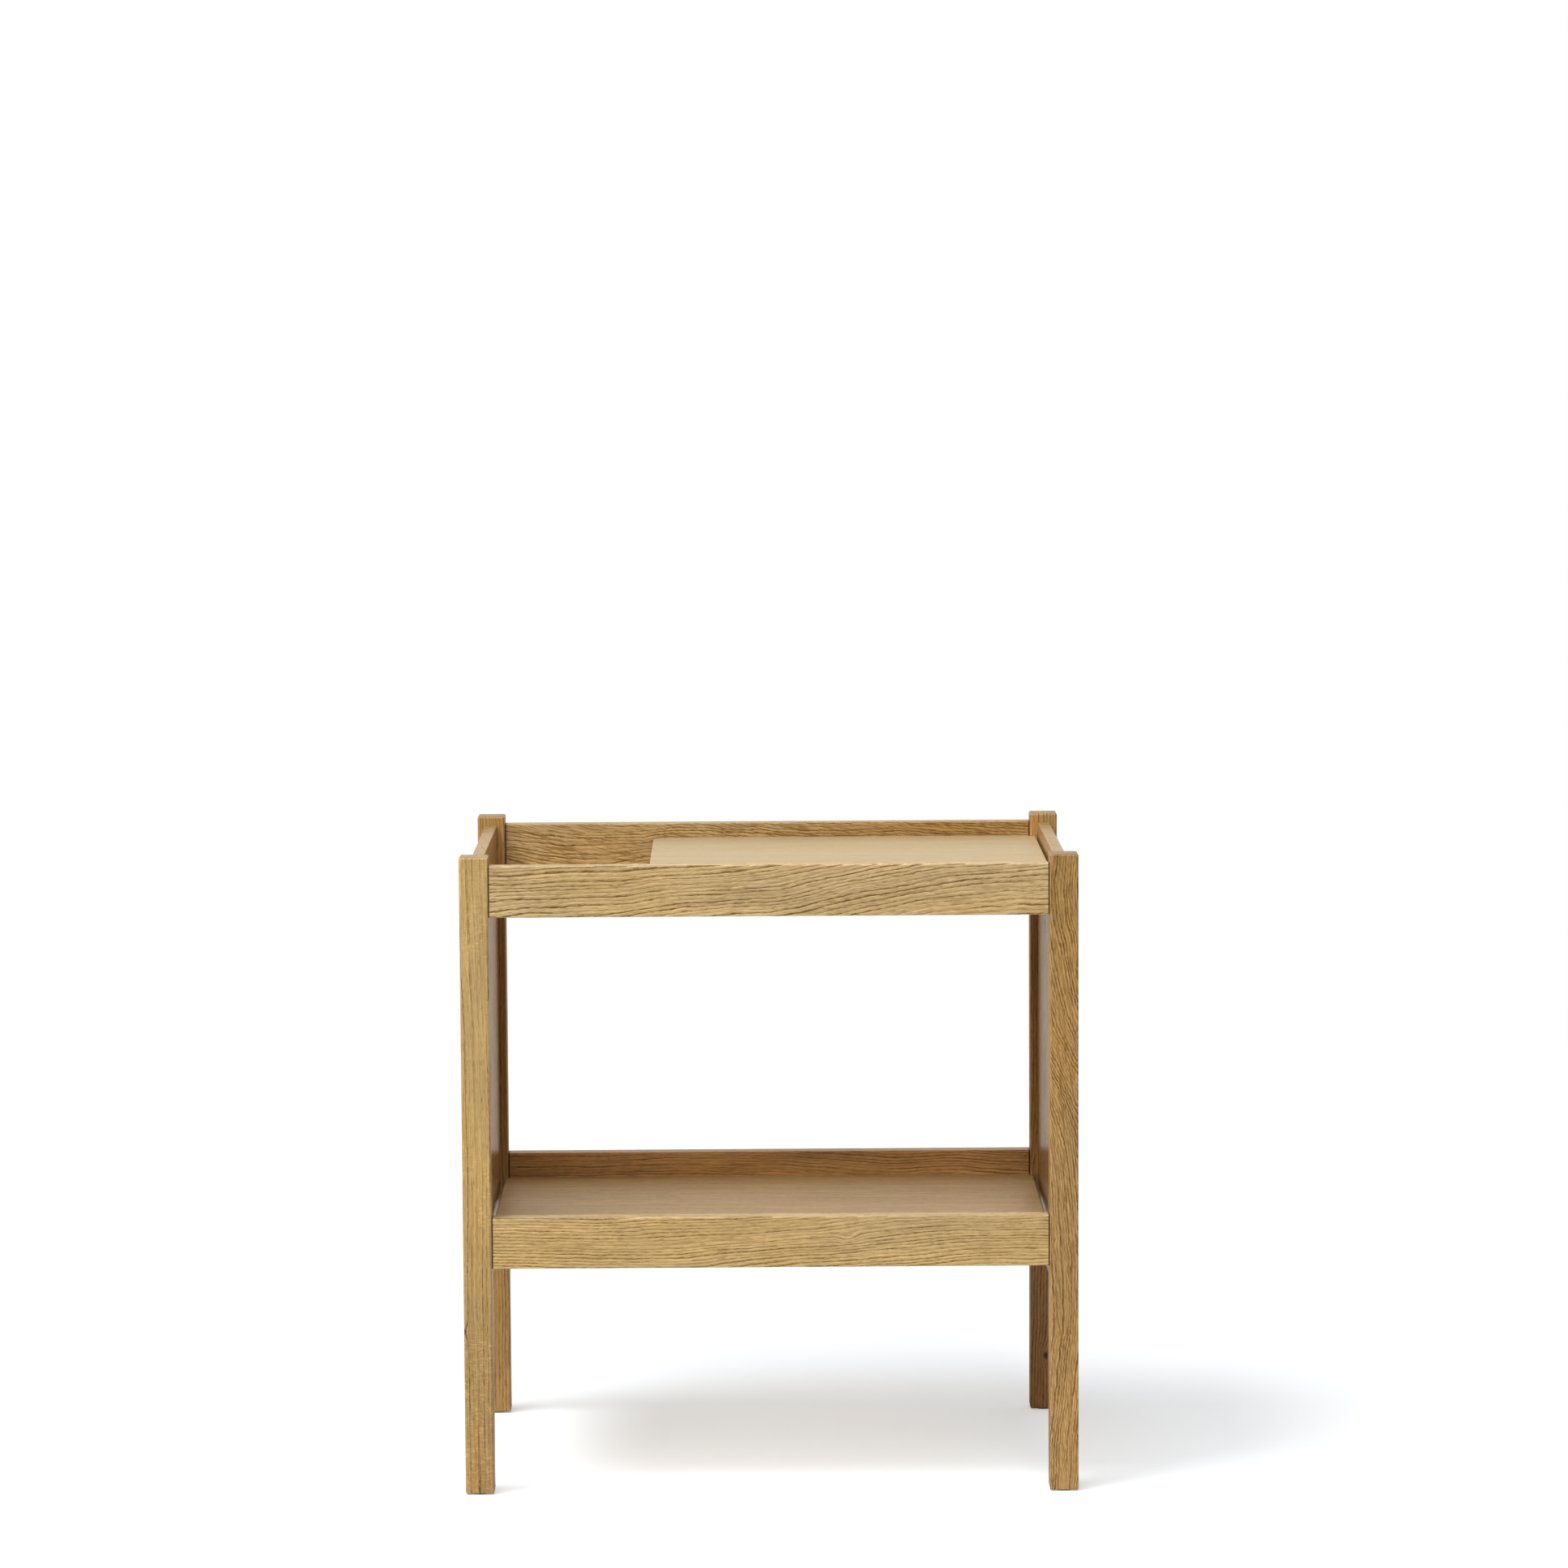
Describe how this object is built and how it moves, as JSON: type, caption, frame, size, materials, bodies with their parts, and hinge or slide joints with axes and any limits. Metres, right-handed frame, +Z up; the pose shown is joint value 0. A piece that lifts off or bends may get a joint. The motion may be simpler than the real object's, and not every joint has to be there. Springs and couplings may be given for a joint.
{
  "type": "bedside table",
  "caption": "Open oak bedside table: square legs, closed side panels, a shallow top tray with a sliding lid over part of it, and a lower tray shelf.",
  "frame": {"origin": "on the floor, under the middle of the table (centre of the bounding box's bottom face)", "axes": "+Z up, +X to the right seen from the front, the front faces -Y"},
  "size_m": [0.6, 0.4, 0.628],
  "materials": {
    "oak_legs": "satin",
    "oak_rails": "satin",
    "oak_panels": "satin lacquer",
    "oak_boards": "satin lacquer",
    "oak_battens": "plain",
    "beech_dowels": "plain",
    "steel_screws": "zinc plated",
    "felt": "matt",
    "plastic_glides": "matt"
  },
  "bodies": {
    "table": {"leg_front_left": "oak_legs", "leg_front_right": "oak_legs", "leg_back_left": "oak_legs", "leg_back_right": "oak_legs", "side_panel_left": "oak_panels", "side_panel_right": "oak_panels", "upper_rail_front": "oak_rails", "upper_rail_back": "oak_rails", "lower_rail_front": "oak_rails", "lower_rail_back": "oak_rails", "shelf_board": "oak_boards", "tray_floor": "oak_boards", "rail_dowels": "beech_dowels", "panel_dowels": "beech_dowels", "tray_floor_screws": "steel_screws", "glide_nails": "steel_screws", "foot_glides": "plastic_glides"},
    "lid": {"sliding_lid": "oak_boards", "lid_runner_front": "oak_battens", "lid_runner_back": "oak_battens", "lid_felt_strips": "felt", "lid_screws": "steel_screws"}
  },
  "joints": [
    {"name": "lid_slide", "type": "slide", "parent": "table", "child": "lid", "axis": [-1, 0, 0], "range_m": [0, 0.155]}
  ]
}
